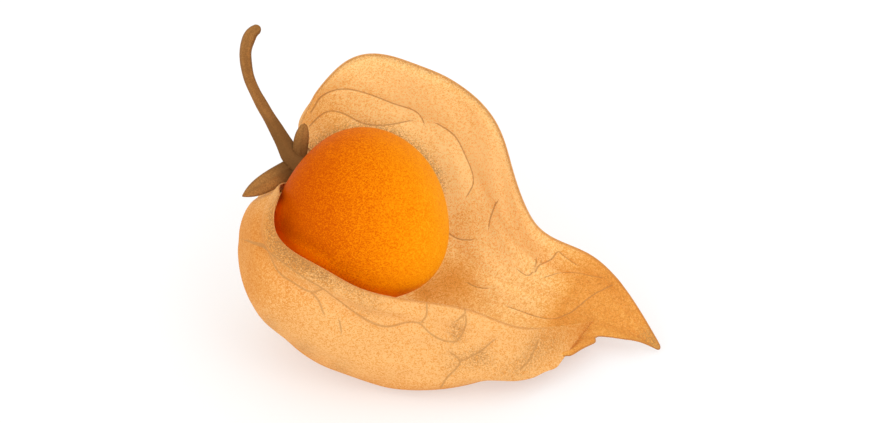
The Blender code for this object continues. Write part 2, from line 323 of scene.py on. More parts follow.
berry = dict(
    centre=(6.9, -5.55, 4.2),  # right, up and forward of the collar
    radius=9.7, stemDraw=1.7, stemSpread=38.0, tipReach=1.7, tipSpread=34.0,
    rows=140, turns=220,
    unevenness=0.05,  # height of the low waves round the skin
    # Low bulges, seen from the mouth: right, up and forward, height and spread in degrees
    bulges=((-0.985, -0.17, 0.0, 0.5, 20.0), (-0.03, 1.0, 0.0, 0.35, 32.0)),
    # Painted shade, darker to the left as if lit from the right: its tone goes by the way from fadeFrom to
    # fadeTo, millimetres along X
    fadeFrom=-19.8, fadeTo=-1.6, sideShadeShare=0.8,
    tones=((0.0, paint(184, 72, 0)), (0.25, paint(198, 88, 0)), (0.45, paint(220, 110, 0)),
           (0.8, paint(240, 143, 6)), (1.0, paint(248, 159, 20))),
    grainSize=0.11, grainRange=0.42, grainBump=(0.01, 0.15),
    cloudSize=4.0, cloudRange=0.12, dimpleSize=1.2, dimpleBump=(0.04, 0.2),
    shine=0.015, roughness=0.45, roughnessRange=0.12, roughnessSize=0.5,
    # By the share of the way from the stem end to the other: the darker end, and the scar round the stem
    endShade=0.1, endShadeReach=0.3, scar=paint(126, 84, 44), scarEdge=(0.08, 0.105),
    # A tint makes up for the deep shade beside the lip. The lip's line is seen from the mouth
    lipLine=((-2.8, -5.0), (-3.1, -6.1), (-3.1, -7.3), (-0.6, -9.8), (2.1, -11.3), (4.2, -12.7),
             (6.9, -13.9), (10.3, -15.0)),
    lipReach=2.0, lipPower=1.5, lipFade=(-2.5, 7.0), lipFadeShare=0.75, lipTint=(2.5, 3.8, 1.0, 1.0),
)


# The berry's centre, and the direction from it to the collar
def berryPlace():
    centre = fromFace(berry["centre"])
    towards = np.array(fruit["collar"]) - centre
    return centre, towards / np.linalg.norm(towards)


# The distance from the centre, as a function of the angle from the stem end: the radius, less a bell curve
# at the stem end, plus one at the blossom end
def berryRadius(angle):
    drawn = berry["stemDraw"] * bell(angle, berry["stemSpread"])
    reach = berry["tipReach"] * bell(180 - angle, berry["tipSpread"])
    return berry["radius"] - drawn + reach


# Rings round the line to the collar, by the angle from the stem end and the turn round it. The radius by
# angle gets two low waves round the skin and the bulges
def makeBerry():
    centre, axis = berryPlace()
    side = np.cross(axis, (0, 0, 1))
    side /= np.linalg.norm(side)
    other = np.cross(axis, side)
    angle = np.linspace(0, 180, berry["rows"] + 2)[1:-1, None]
    turn = np.linspace(0, 2 * np.pi, berry["turns"], endpoint=False)[None, :]
    wave = np.sin(3 * turn + 1.0) + 0.7 * np.cos(5 * turn + angle / 25)
    radius = berryRadius(angle) + berry["unevenness"] * wave * np.sin(np.radians(angle)) ** 2
    lean, reach = np.cos(np.radians(angle)), np.sin(np.radians(angle))
    around = np.cos(turn)[..., None] * side + np.sin(turn)[..., None] * other
    outwards = lean[..., None] * axis + reach[..., None] * around
    for *towards, height, spread in berry["bulges"]:
        away = np.degrees(np.arccos(np.clip(outwards @ (np.array(towards) @ faceAxes()), -1, 1)))
        radius = radius + height * bell(away, spread)
    rings = centre + radius[..., None] * outwards
    tips = [centre + berryRadius(0.0) * axis, centre - berryRadius(180.0) * axis]
    fromStem = np.broadcast_to(angle / 180, wave.shape)
    seen = asSeen(rings)
    nearLip = hump(lineOffset(seen, [berry["lipLine"]]), berry["lipReach"]) ** berry["lipPower"]
    nearLip = nearLip * (1 - berry["lipFadeShare"] * rise(seen[..., 0], *berry["lipFade"]))
    return ringBody("berrySkin", rings[:, ::-1], *tips, dict(fromStem=fromStem, nearLip=nearLip[:, ::-1]))


# The tone is picked by a painted side shade, darker to the left: so much of the way across, plus clouds and
# grain, less the darker stem end. It is multiplied by the tint beside the lip, painted light, and the scar
# lies over it
def berryFinish():
    skin = Finish("berrySkin", Specular_IOR_Level=berry["shine"])
    start, length = berry["fadeFrom"] * millimetre, (berry["fadeTo"] - berry["fadeFrom"]) * millimetre
    # Painted shade: the share of the way across, from the dark left to the light right
    across = (skin.along(0) - start) * (1 / length)
    grain = skin.grain(berry["grainSize"])
    toneWithSideShade = berry["sideShadeShare"] * across + berry["cloudRange"] * (skin.noise(berry["cloudSize"]) - 0.5)
    toneWithSideShade = toneWithSideShade + berry["grainRange"] * (grain - 0.5)
    toneWithSideShade = toneWithSideShade - berry["endShade"] * (1 - skin.value("fromStem").span(0.0, berry["endShadeReach"]))
    roughness = berry["roughness"] + berry["roughnessRange"] * skin.noise(berry["roughnessSize"], detail=2.0)
    tint = skin.value("nearLip").mix(white, berry["lipTint"])
    scar = 1 - skin.value("fromStem").span(*berry["scarEdge"])
    colour = scar.mix(toneWithSideShade.held().ramp(berry["tones"]).mixedBy(tint), berry["scar"])
    bumps = [(grain, *berry["grainBump"]), (skin.noise(berry["dimpleSize"]), *berry["dimpleBump"])]
    return skin.give(colour, roughness, bumps)


# The husk

husk = dict(
    rows=206, columns=222, rimSteps=3,
    # Thickness in millimetres, thinner at the rims, and how far the outer face lies inside the solid's
    wall=0.32, rimWall=0.18, rimTaper=1.6, inset=0.2,
    lobeThickness=3.0, lobeSide=(0.74, 0.84),  # the lobe's end isn't thinned: it counts as further in
    ringRadius=1.85, ringAngles=(5, 33, 61, 89, 113, 138, 165),
    stations=(0.0, 0.09, 0.2, 0.32, 0.46, 0.6, 0.73, 0.86, 1.0),
    ribPlaces=(0.0, 0.14, 0.31, 0.5, 0.68, 0.86, 1.0),
    # Ribs from the crown's rim round the back to the lip's rim: (along, towards crown, towards mouth)
    ribs=(
        ((-2.35, 3.9, -3.4), (-0.8, 13.0, -6.9), (6.2, 16.55, -8.2), (13.4, 16.5, -8.6),
         (20.1, 12.8, -8.4), (27.2, 6.1, -7.2), (35.0, 5.8, -5.8), (46.3, 0.2, -4.4)),
        ((-2.5, 4.0, -6.0), (-0.2, 8.6, -11.0), (6.5, 10.4, -13.6), (13.5, 10.2, -13.8),
         (20.5, 7.0, -12.4), (27.5, 2.6, -9.6), (36.0, 2.6, -7.0), (46.5, -0.2, -4.6)),
        ((-1.7, 0.2, -7.0), (-0.3, -0.5, -13.2), (6.5, -0.6, -15.8), (13.5, -1.2, -15.6),
         (20.5, -2.2, -13.6), (27.5, -2.6, -9.8), (36.0, -0.6, -6.8), (46.0, -0.8, -4.6)),
        ((-2.8, -4.6, -6.0), (0.0, -10.5, -11.6), (6.5, -12.4, -13.0), (13.5, -12.4, -11.6),
         (20.5, -11.4, -8.8), (27.5, -8.6, -6.2), (35.4, -3.6, -4.6), (43.0, -1.2, -3.7)),
        ((-3.0, -6.6, -2.5), (0.85, -14.75, -4.4), (6.5, -18.3, -3.7), (13.5, -19.2, -1.8),
         (20.5, -18.0, 0.8), (27.3, -14.4, 1.6), (33.6, -8.6, -0.4), (38.6, -4.3, -1.3)),
        ((-3.1, -7.0, 1.6), (0.6, -14.3, 6.2), (6.5, -16.2, 8.6), (13.5, -15.8, 8.8),
         (20.5, -13.9, 7.8), (27.0, -11.9, 6.3), (32.2, -11.0, 4.4), (36.6, -7.4, 1.6)),
        ((-0.4, -4.1, 9.2), (1.1, -7.95, 11.2), (6.0, -9.15, 13.0), (12.0, -9.35, 12.6),
         (18.4, -7.9, 10.0), (25.0, -6.0, 7.4), (31.0, -5.2, 5.4), (38.2, -1.0, -3.6)),
    ),
    # How much shorter the lines end, by place across: a notch before the flap, and a slit after it
    ends=((0.52, 0.0), (0.54, 0.055), (0.66, 0.0), (0.72, 0.0), (0.745, 0.09), (0.79, 0.09), (0.88, 0.0),
          (1.0, 0.0)),
    berryRoom=0.75, roomSoftness=0.3,
    # Relief. Places go from 0 to 1 along the sheet, from neck to tail, or across it, from crown to lip
    veins=(0.14, 0.28, 0.42, 0.56, 0.70, 0.82), veinSpread=0.03, veinHeight=0.1,
    cuffPlace=0.945, cuffMiddle=0.42, cuffReach=0.5, cuffSwell=0.45, cuffGroove=0.5,
    # A pocket that swells out and the flap's end pressed in: along, across, size along and across, height
    bumps=((0.63, 0.94, 0.055, 0.06, 0.9), (0.95, 0.73, 0.045, 0.07, -0.8)),
    shoulderPlace=0.038, shoulderDip=0.5, shoulderSides=(0.5, 0.62, 0.88, 0.96),  # below the left sepal
    crumple=0.2, fineCrumple=0.05, fineWaves=(9.0, 13.0, 19.0, 27.0, 38.0), seed=7,
    foldWidth=1.5, foldDepth=0.14, wallTurns=(0.5, 0.7), wallFade=0.06,
    creaseWidth=0.32, creaseDepth=0.07,
    # Painted soft shades, seen from the mouth: right and up of the collar, reach, strength; below 0, painted
    # light
    backShades=((17.5, -13.3, 4.2, 0.9), (20.5, -16.5, 4.0, 0.35), (31.2, -17.5, 3.2, 0.7),
                (33.8, -14.9, 3.2, 0.8), (2.0, 7.0, 3.5, 0.3), (19.0, -6.5, 4.0, 0.3),
                (39.0, -18.5, 4.0, 0.9), (32.2, -20.3, 3.2, 0.4), (31.5, -11.5, 3.5, 0.2),
                (20.5, 0.0, 6.0, -0.45), (12.5, 6.5, 4.0, -0.3), (4.0, 5.0, 3.0, 0.35),
                (14.0, -14.8, 2.4, 0.8)),
    frontShades=((-5.5, -7.5, 6.0, 0.75), (-1.0, -16.0, 3.5, 0.25), (-5.5, -14.0, 5.0, 0.6),
                 (0.3, -11.2, 3.2, 0.4), (28.5, -19.6, 3.0, 0.4), (33.0, -18.8, 4.6, 0.8)),
    frontGreyShades=((8.0, -16.4, 3.5, 0.25), (17.9, -18.9, 1.8, 0.45), (17.0, -22.5, 3.0, 0.25),
                (20.6, -22.2, 2.8, 0.4), (23.6, -23.8, 2.4, 0.25), (26.3, -22.0, 3.0, 0.2),
                (29.0, -20.0, 3.0, 0.2), (-3.7, -18.5, 2.6, 0.35), (0.3, -21.3, 2.6, 0.4),
                (4.6, -23.6, 2.6, 0.35)),
    spotFade=1.4,  # how many bell-curve reaches fit in a spot's reach
    # Wide shades: strength, then from where to where they grow, along the sheet and across it
    tailShade=(0.95, (0.72, 0.93), (0.8, 0.7)), underShade=(0.45, (0.7, 1.0), (0.7, 0.5)),
    lobeEdge=(0.3, (0.85, 0.97), (0.7, 0.8)),
    # Narrow shades: strength, and how far they reach from the belly's fold, the berry, the rims and the tip
    bellyShade=0.5, bellyPlace=0.7, bellyReach=0.1,
    besideShade=0.7, besideReach=1.3, besideLeast=0.15, besideFade=(-6.0, -1.0),
    cuffShade=0.85, cuffShadeReach=1.8, cuffShadeMiddle=0.27, cuffShadeHalf=0.36,
    brimShade=0.5, brimReach=0.8, brimAlong=(0.05, 0.15, 0.6, 0.8),
    tipShade=0.6, tipPlace=(41.0, -20.3), tipReach=2.2, endShade=0.12, endAlong=(0.75, 0.95),
    creaseShade=0.1, creaseShadeReach=2.0,
    # Tones from bare paper to deep shade
    tones=((0.0, paint(254, 200, 133)), (0.4, paint(241, 175, 97)), (0.8, paint(226, 146, 62)),
           (1.0, paint(206, 130, 56))),
    bareTone=0.1, shadeRange=0.7, cloudSize=4.0, cloudRange=0.3, mottleSize=0.6, mottleRange=0.2,
    grainSize=0.12, grainRange=1.0, grainInShade=0.6, grainBump=(0.02, 0.2),
    wrinkleSize=0.9, wrinkleBump=(0.1, 0.25),
    # Painted grey-brown shade: its colour, the weight of its mask, its grain as a share of the paper's, where
    # it is full
    dusk=paint(174, 125, 73), greyShadeRange=0.85, greyShadeGrain=0.8, greyShadeEdge=0.6,
    # Painted light on the inner face, against the cup's shade and orange bounce; painted shade on the outer,
    # against the floor's glow
    innerTint=(1.1, 1.37, 1.48, 1.0), outerTint=(0.84, 0.77, 0.68, 1.0),
    innerFadeShare=0.5, innerFade=(0.65, 0.95),  # the inner face's tint fades towards the tail
    # Painted shade along the creases; the veins take the same brown as their own colour
    crease=paint(184, 132, 76), creaseStrength=0.7, creaseLine=(0.03, 0.18),
    netSize=2.4, netLine=0.12, netStrength=0.2, netBump=(0.04, 0.15),
    veinLine=(0.05, 0.3), veinStrength=0.4, veinFade=(0.65, 0.5),
    edge=paint(186, 120, 60), edgeWidth=0.3, edgeStrength=0.6,
    shine=0.1, roughness=0.72, roughnessRange=0.15,
    # Broad folds and narrow creases, seen from the mouth: points right and up of the collar, in millimetres
    backFolds=(
        ((2.1, 7.8), (3.4, 8.6), (5.1, 8.9), (8.9, 7.9), (13.7, 5.7), (17.7, 3.4), (18.9, 1.1), (19.9, -2.3)),
        ((0.9, 4.6), (2.9, 6.3), (5.1, 5.9), (6.9, 4.9), (9.7, 4.6), (12.6, 5.1)),
        ((23.9, -16.3), (27.0, -17.3), (29.4, -17.6), (31.3, -16.7), (33.4, -15.0), (35.7, -13.7)),
    ),
    frontFolds=(
        ((17.2, -24.0), (18.3, -22.5), (17.4, -21.6)),
        ((18.3, -22.5), (20.6, -21.4), (22.3, -20.1)),
        ((25.4, -23.4), (26.3, -22.5), (27.4, -20.3)),
        ((-6.4, -8.6), (-3.9, -9.7), (-2.2, -12.9), (0.3, -14.5), (2.6, -14.3)),
    ),
    backCreases=(
        ((0.9, 6.2), (2.1, 7.8), (3.4, 8.6), (5.1, 8.9), (6.9, 8.6), (8.9, 7.9), (11.4, 6.9), (13.7, 5.9),
         (14.2, 4.9)),
        ((15.7, 4.9), (17.7, 3.4), (18.9, 1.1), (19.9, -2.3), (19.4, -3.4)),
        ((0.9, 4.6), (2.9, 6.3), (5.1, 5.9), (6.9, 4.9), (9.7, 4.6), (12.6, 5.1)),
        ((22.9, -4.2), (22.1, -5.9), (21.8, -7.1)),
        ((16.9, -7.7), (18.4, -8.5), (19.8, -8.6)),
        ((25.1, -12.1), (26.2, -12.7), (27.1, -10.9)),
        ((27.0, -12.3), (27.2, -11.8), (27.8, -11.2), (28.9, -10.6), (29.5, -9.8)),
        ((29.8, -9.7), (30.7, -10.5), (31.8, -11.3)),
        ((28.1, -12.9), (29.8, -12.3), (31.7, -12.2), (33.4, -12.6), (34.5, -12.7)),
        ((19.4, -13.7), (20.3, -14.1), (21.6, -14.3)),
        ((23.9, -16.3), (27.0, -17.3), (29.4, -17.6), (31.3, -16.7), (33.4, -15.0), (35.7, -13.7)),
    ),
    frontCreases=(
        ((-6.3, -8.6), (-2.5, -10.6), (0.3, -12.6), (2.6, -14.3), (5.4, -16.6), (7.7, -17.9), (11.0, -18.5),
         (13.7, -18.1), (14.5, -18.9), (15.3, -19.5), (16.2, -20.0), (17.8, -20.2)),
        ((17.8, -20.2), (18.7, -19.2), (18.95, -18.0), (18.9, -16.5)),
        ((17.9, -17.8), (18.8, -17.0)),
        ((-6.4, -8.6), (-3.9, -9.7), (-3.2, -11.7), (-2.2, -12.9), (-0.9, -13.7), (0.3, -14.5), (1.4, -14.8),
         (2.6, -14.3)),
        ((1.1, -14.9), (2.0, -15.8), (2.6, -17.1)),
        ((4.5, -18.1), (4.7, -19.1)),
        ((13.8, -17.9), (14.3, -16.9), (14.5, -15.9)),
        ((16.0, -25.7), (17.0, -24.2), (18.3, -22.5), (17.4, -21.6)),
        ((18.3, -22.5), (20.6, -21.4), (22.3, -20.1)),
        ((25.4, -23.4), (26.3, -22.5), (27.4, -20.3)),
    ),
)


# Where each rib starts, in the husk's own axes: on a circle round the neck, by the angle from its top
def neckRing():
    neck = huskAxes() @ berryPlace()[1]
    up = np.array((0, 1, 0)) - neck * neck[1]
    up /= np.linalg.norm(up)
    turn = np.radians(husk["ringAngles"])[:, None]
    return husk["ringRadius"] * (np.cos(turn) * up + np.sin(turn) * np.cross(neck, up))


# Places along the lines. Where the lines end early, u gives up that much times its fourth power, so that
# only their last stretch is pressed together
def endedEarly(u, v):
    ends = husk["ends"]
    short = sum((after - before) * rise(v, low, high)
                for (low, before), (high, after) in zip(ends, ends[1:]))
    return u - short * u**4


# The smooth sheet: splines across the ribs, then along each line
def huskSheet(u, v):
    stations = np.concatenate((neckRing()[:, None], np.array(husk["ribs"])), axis=1)
    across = splineThrough(husk["ribPlaces"], stations, v).transpose(1, 0, 2)
    lines = splineThrough(husk["stations"], across, u)
    return np.array(fruit["collar"]) + lines @ huskAxes()


# Broad relief: humps for the veins, for the cuff's swell and groove under the lip and for the bumps,
# crumples as products of waves, and a dip at the shoulder
def huskRelief(u, v):
    fade = np.clip(np.sin(np.pi * u), 0, 1) ** 0.5
    veins = husk["veinHeight"] * sum(hump(v - place, husk["veinSpread"]) for place in husk["veins"])
    swell = husk["cuffSwell"] * hump(v - husk["cuffPlace"] - husk["veinSpread"], husk["veinSpread"])
    groove = husk["cuffGroove"] * hump(v - husk["cuffPlace"], husk["veinSpread"])
    cuff = (swell - groove) * hump(u - husk["cuffMiddle"], husk["cuffReach"]) ** 0.5
    bumps = sum(height * hump(np.hypot((u - along) / lengthwise, (v - across) / crosswise), 1)
                for along, across, lengthwise, crosswise, height in husk["bumps"])
    wide = np.sin(21 * u + 9 * v) * np.sin(17 * v - 6 * u)
    narrow = 0.6 * np.sin(34 * u - 19 * v + 1.3) * np.sin(27 * v + 2.1)
    start, full, fading, gone = husk["shoulderSides"]
    shoulder = hump(u - husk["shoulderPlace"], husk["shoulderPlace"])
    shoulder = shoulder * rise(v, start, full) * rise(v, gone, fading)
    return (veins + husk["crumple"] * (wide + narrow)) * fade + cuff + bumps - husk["shoulderDip"] * shoulder


# Fine crumples: plane waves in drawn directions, folded at their middles so that they meet in ridges
def fineCrumples(u, v):
    draw = np.random.default_rng(husk["seed"])
    height = 0
    for waves in husk["fineWaves"]:
        heading, phase = draw.uniform(0, 2 * np.pi, 2)
        bent = 0.105 * np.sin(5 * u + 7 * v + phase)
        wave = np.sin(waves * (u * np.cos(heading) + 1.2 * v * np.sin(heading) + bent) + phase)
        height = height + np.abs(wave) * husk["fineWaves"][0] / waves
    return height * np.clip(np.sin(np.pi * u), 0, 1) ** 0.5


# How far a place across is on the back and on the front: straight slopes, with the floor between them
def wallShare(v):
    back = np.clip((husk["wallTurns"][0] - v) / husk["wallFade"], 0, 1)
    front = np.clip((v - husk["wallTurns"][1]) / husk["wallFade"], 0, 1)
    return back, front


# How far each place is from the back's lines or from the front's, by the wall that it is on
def wallOffset(seen, back, backLines, frontLines):
    return np.where(back > 0, lineOffset(seen, backLines), lineOffset(seen, frontLines))


# Pushes points that come too near the berry straight away from it. The push is half the sum of the room that
# is lacking and the root of its square plus the softness's square, so it sets in smoothly
def clearOfBerry(points):
    centre, axis = berryPlace()
    away = points - centre
    far = np.linalg.norm(away, axis=-1)
    angle = np.degrees(np.arccos(np.clip(away @ axis / far, -1, 1)))
    lack = husk["berryRoom"] + berryRadius(angle) - far
    push = (lack + np.sqrt(lack**2 + husk["roomSoftness"] ** 2)) / 2
    return points + away * (push / far)[..., None]


# Soft round spots: the sum of a bell curve round each middle, at most 1
def softSpots(seen, spots):
    total = sum(strength * bell(husk["spotFade"] * np.linalg.norm(seen - (right, up), axis=-1), reach)
                for right, up, reach, strength in spots)
    return np.minimum(total, 1)


# A wide shade: its strength times a smooth step along the sheet and one across it
def wideShade(u, v, strength, along, across):
    return strength * rise(u, *along) * rise(v, *across)


# How far each place is from the crown's rim, the lip's rim and the far end: steps summed over the grid
def rimDistances(outside, v):
    fromCrown = np.linalg.norm(np.diff(outside, axis=1, prepend=outside[:, :1]), axis=2).cumsum(axis=1)
    fromNeck = np.linalg.norm(np.diff(outside, axis=0, prepend=outside[:1]), axis=2).cumsum(axis=0)
    fromEnd = fromNeck[-1:] - fromNeck + husk["lobeThickness"] * rise(v, *husk["lobeSide"])
    return fromCrown, fromCrown[:, -1:] - fromCrown, fromEnd


# The lip's and the crown's rims: half rounds between the two faces
def huskRims(outside, inside, normals, wall):
    turn = np.linspace(0, np.pi, husk["rimSteps"] + 2)[1:-1][None, :, None]
    rims = []
    for column, neighbour in ((-1, -2), (0, 1)):
        middle = (outside[:, column] + inside[:, column]) / 2
        outwards = outside[:, column] - outside[:, neighbour]
        outwards /= np.linalg.norm(outwards, axis=1, keepdims=True)
        rounding = np.cos(turn) * normals[:, column][:, None] + np.sin(turn) * outwards[:, None]
        rims.append(middle[:, None] + wall[:, column, None, None] / 2 * rounding)
    return rims


# Quads round the sheet, and at its first and last rows strips between the faces and caps on the rims
def huskFaces(rows, columns):
    count, steps = husk["columns"], husk["rimSteps"]
    outer = np.arange(count)
    inner = 2 * count + steps - 1 - outer
    strip = np.stack((outer[:-1], outer[1:], inner[1:], inner[:-1]), axis=1)
    caps = [[*range(count - 1, count + steps + 1)], [*range(2 * count + steps - 1, columns), 0]]
    last = (rows - 1) * columns
    faces = ringQuads(rows, columns) + strip.tolist() + caps
    faces += (strip[:, ::-1] + last).tolist()
    return faces + [[corner + last for corner in reversed(cap)] for cap in caps]


# Values on both faces, and their means on the rims between them
def onRings(outer, inner):
    means = (outer + inner) / 2
    lip, crown = (np.repeat(means[:, [column]], husk["rimSteps"], axis=1) for column in (-1, 0))
    return np.concatenate((outer, lip, inner[:, ::-1], crown), axis=1).reshape(-1)


# How much painted shade the paper gets, warm and grey-brown, outside and inside: sums of soft spots, wide
# shades and bell curves of the distance from the berry, the rims and the tail's tip
def paperShades(u, v, seen, fromCrown, fromLip, creaseOffset):
    front = wallShare(v)[1]
    fromBerry = np.linalg.norm(seen - berry["centre"][:2], axis=2) - berry["radius"]
    least = husk["besideLeast"]
    beside = husk["besideShade"] * np.exp(-np.maximum(fromBerry, 0) / husk["besideReach"])
    beside = beside * (least + (1 - least) * rise(seen[..., 1], *husk["besideFade"]))
    cuff = husk["cuffShade"] * bell(fromLip, husk["cuffShadeReach"])
    cuff = cuff * hump(u - husk["cuffShadeMiddle"], husk["cuffShadeHalf"])
    belly = husk["bellyShade"] * hump(v - husk["bellyPlace"], husk["bellyReach"])
    belly = belly + wideShade(u, v, *husk["underShade"])
    tail = wideShade(u, v, *husk["tailShade"])
    tip = husk["tipShade"] * bell(np.linalg.norm(seen - husk["tipPlace"], axis=2), husk["tipReach"])
    tip = tip + husk["endShade"] * rise(u, *husk["endAlong"])
    creases = husk["creaseShade"] * hump(creaseOffset, husk["creaseShadeReach"]) * front
    start, full, fading, gone = husk["brimAlong"]
    brim = husk["brimShade"] * bell(fromCrown, husk["brimReach"])
    brim = brim * rise(u, start, full) * rise(u, gone, fading)
    shade = softSpots(seen, husk["frontShades"]) * front + belly + tail
    shadeInside = softSpots(seen, husk["backShades"]) + tail
    # Painted grey-brown shade: by the lip, in front spots, along creases, at the tip; inside beside the berry
    # and the brim
    dusk = cuff + softSpots(seen, husk["frontGreyShades"]) * front + creases + tip
    greyShadeInside = beside + brim + tip
    return (np.minimum(total, 1) for total in (shade, shadeInside, dusk, greyShadeInside))


# A grid along and across the sheet. The relief is pushed out along the smooth sheet's normals, and the
# inner face lies one wall's thickness behind the outer
def makeHusk():
    v = np.linspace(0, 1, husk["columns"])
    u = endedEarly(np.linspace(0, 1, husk["rows"])[:, None], v)
    sheet = clearOfBerry(huskSheet(u, v))
    seen = asSeen(sheet)
    back, front = wallShare(v)
    foldOffset = wallOffset(seen, back, husk["backFolds"], husk["frontFolds"])
    creaseOffset = wallOffset(seen, back, husk["backCreases"], husk["frontCreases"])
    lines = husk["foldDepth"] * hump(foldOffset, husk["foldWidth"])
    lines += husk["creaseDepth"] * hump(creaseOffset, husk["creaseWidth"])
    height = huskRelief(u, v) + husk["fineCrumple"] * fineCrumples(u, v) + lines * (back - front)
    outside = sheet + gridNormals(sheet) * (height - husk["inset"])[..., None]
    outside[..., 2] = np.maximum(outside[..., 2], 0)
    normals = gridNormals(outside)
    fromCrown, fromLip, fromEnd = rimDistances(outside, v)
    fromRim = np.minimum(np.minimum(fromCrown, fromLip), fromEnd)
    wall = husk["rimWall"] + (husk["wall"] - husk["rimWall"]) * rise(fromRim, 0, husk["rimTaper"])
    inside = outside - normals * wall[..., None]
    lipRim, crownRim = huskRims(outside, inside, normals, wall)
    rings = np.concatenate((outside, lipRim, inside[:, ::-1], crownRim[:, ::-1]), axis=1)

    shade, shadeInside, dusk, greyShadeInside = paperShades(u, v, seen, fromCrown, fromLip, creaseOffset)
    edge = fromRim + wideShade(u, v, *husk["lobeEdge"])
    nearCrease = hump(creaseOffset, 1.0) * (back + front)
    sideOfCrease = np.clip(creaseOffset, -3, 3)
    fromVein = np.min(np.abs(v[:, None] - husk["veins"]), axis=1) * fromCrown[:, -1:]
    nowhere = np.zeros_like(fromRim)
    values = dict(
        fromRim=onRings(edge, edge),
        crease=onRings(nearCrease, nearCrease),
        creaseOffset=onRings(sideOfCrease, sideOfCrease),
        shade=onRings(shade, shadeInside),
        dusk=onRings(dusk, greyShadeInside),
        within=onRings(nowhere, 1 - husk["innerFadeShare"] * rise(u, *husk["innerFade"])),
        vein=onRings(nowhere + rise(v, *husk["veinFade"]), nowhere),
        veinOffset=onRings(fromVein, fromVein),
    )
    return makeMesh("huskPaper", rings.reshape(-1, 3), huskFaces(*rings.shape[:2]), values)


# The tone is picked by the painted shade, plus clouds, speckle and mottle. Painted grey-brown shade, creases,
# veins and edges lie over it, each a mask times its strength
def huskFinish():
    paper = Finish("huskPaper", Specular_IOR_Level=husk["shine"])
    mottle = paper.noise(husk["mottleSize"], detail=2.0)
    shade = paper.value("shade") + husk["cloudRange"] * (paper.noise(husk["cloudSize"]) - 0.5)
    grain = paper.grain(husk["grainSize"])
    speckle = husk["grainRange"] * (1 - husk["grainInShade"] * shade) * (grain - 0.5)
    tone = husk["bareTone"] + husk["shadeRange"] * shade + speckle + husk["mottleRange"] * (mottle - 0.5)
    colour = tone.held().ramp(husk["tones"])
    # Painted grey-brown shade, grain by grain
    greyShadeMask = paper.value("dusk")
    greyShadeSpeckle = (husk["greyShadeRange"] * greyShadeMask + (paper.grain(husk["greyShadeGrain"] * husk["grainSize"]) - 0.5)).held()
    colour = (greyShadeSpeckle * greyShadeMask.span(0.0, husk["greyShadeEdge"])).mix(colour, husk["dusk"])
    # Painted light inside and painted shade outside, by the tints
    colour = colour.mixedBy(paper.value("within").mix(husk["outerTint"], husk["innerTint"]))
    # Painted shade in the creases
    crease = paper.value("crease") * (1 - abs(paper.value("creaseOffset")).span(*husk["creaseLine"]))
    colour = (crease * husk["creaseStrength"]).mix(colour, husk["crease"])
    net = 1 - paper.fromBorders(husk["netSize"]).span(0.0, husk["netLine"])
    veins = 1 - paper.value("veinOffset").span(*husk["veinLine"])
    lines = paper.value("vein") * (husk["veinStrength"] * veins + husk["netStrength"] * net)
    colour = lines.mix(colour, husk["crease"])
    edge = 1 - paper.value("fromRim").span(0.0, husk["edgeWidth"])
    colour = (edge * husk["edgeStrength"]).mix(colour, husk["edge"])
    bumps = [(grain, *husk["grainBump"]), (paper.noise(husk["wrinkleSize"]), *husk["wrinkleBump"]),
             (net, *husk["netBump"])]
    return paper.give(colour, husk["roughness"] + husk["roughnessRange"] * mottle, bumps)


# The stem and its sepals

stem = dict(
    radius=0.72,
    # From the berry up: right, up and forward of the collar, and the thickness at the same places
    line=((0.95, -0.76, 0.58), (0.0, 0.0, 0.0), (-0.9, 0.9, -0.3), (-1.45, 1.75, -0.5), (-2.55, 3.8, -0.5),
          (-4.08, 6.45, 0.1), (-5.38, 9.0, 1.4), (-5.92, 10.8, 2.7), (-6.07, 12.6, 4.0), (-5.75, 14.0, 5.1),
          (-5.2, 14.95, 5.8), (-4.3, 15.5, 6.2)),
    swell=(1.6, 1.65, 1.6, 1.45, 1.15, 0.96, 0.88, 0.9, 0.95, 1.0, 0.92, 0.75),
    dome=0.6,  # length of the round ends
    rows=220, turns=48, ridges=5, ridgeHeight=0.05, knotHeight=0.03,
)
sepals = dict(
    rows=70, columns=40, thickness=0.42, tipWidth=0.12, curl=0.2,
    midrib=0.16, midribWidth=0.3, grooveWidth=0.25, sideVeins=0.05, sideWaves=22, slant=9, fadeStart=3.0,
    # Root, tip and the midrib's bow are right, up and forward. Half is half the width, which flares, ends
    # bluntly and bends in. Tilt is a turn in degrees, and fade is how soon the dark of the joint ends
    left=dict(root=(-0.7, 0.0, -0.2), tip=(-6.5, -3.55, 0.9), bow=(0.0, -0.08, 1.2),
              half=1.06, flare=0.3, blunt=3.4, bend=1.0, tilt=15.0, fade=16.0),
    upper=dict(root=(-0.12, -0.1, 0.1), tip=(0.52, 4.7, 0.6), bow=(-0.12, 0.0, 0.3),
               half=0.8, flare=0.15, blunt=4.0, bend=0.7, tilt=0.0, fade=8.0),
)
bark = dict(
    main=paint(156, 106, 54), light=paint(172, 118, 60), deep=paint(112, 75, 36),
    patchSize=2.5, noiseRange=(0.3, 0.7),
    jointFade=(5.0, 11.0), jointShade=0.85, grooveShade=0.3, edgeReach=0.45, edgeShade=0.8, edgeGrain=0.6,
    edgeStrength=0.7, grainSize=0.15, grainShade=0.35, grainBump=(0.03, 0.4), bumpSize=0.6, bump=(0.08, 0.4),
    shine=0.1, roughness=0.7, roughnessRange=0.15,
)


